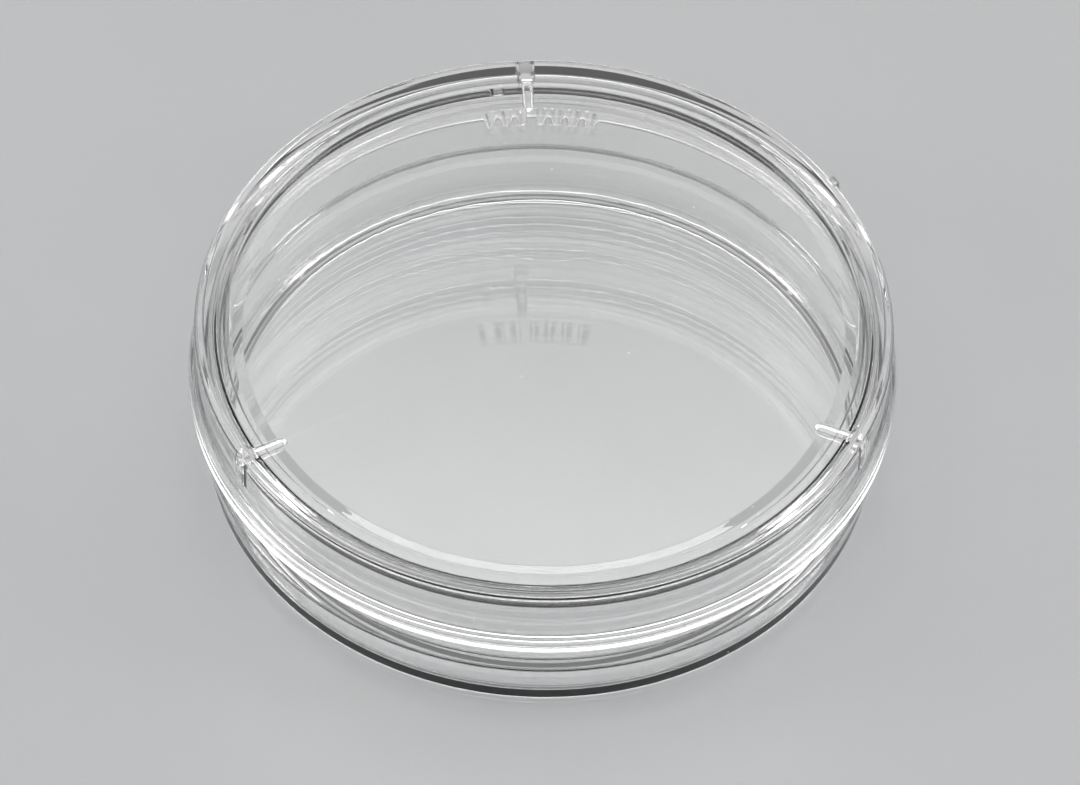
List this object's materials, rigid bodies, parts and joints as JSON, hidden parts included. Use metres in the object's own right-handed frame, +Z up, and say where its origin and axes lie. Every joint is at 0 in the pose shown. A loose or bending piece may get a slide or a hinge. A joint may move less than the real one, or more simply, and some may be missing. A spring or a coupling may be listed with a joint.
{
  "type": "petri dish",
  "caption": "Round clear plastic petri dish with a loose vented lid, a grip band round the base and a raised rim on the lid for stacking.",
  "frame": {"origin": "centre of the circle where the foot ring stands on the table", "axes": "+Z up through the centre of the dish, towards the lid; -Y towards the side seen from the front"},
  "size_m": [0.06, 0.06, 0.017],
  "materials": {
    "base_polystyrene": "clear, polished mould finish",
    "lid_polystyrene": "clear, polished mould finish"
  },
  "bodies": {
    "base": {"base_dish": "base_polystyrene"},
    "lid": {"lid": "lid_polystyrene"}
  },
  "joints": [
    {"name": "lid_lift", "type": "slide", "parent": "base", "child": "lid", "axis": [0, 0, 1], "range_m": [0, 0.03]}
  ]
}
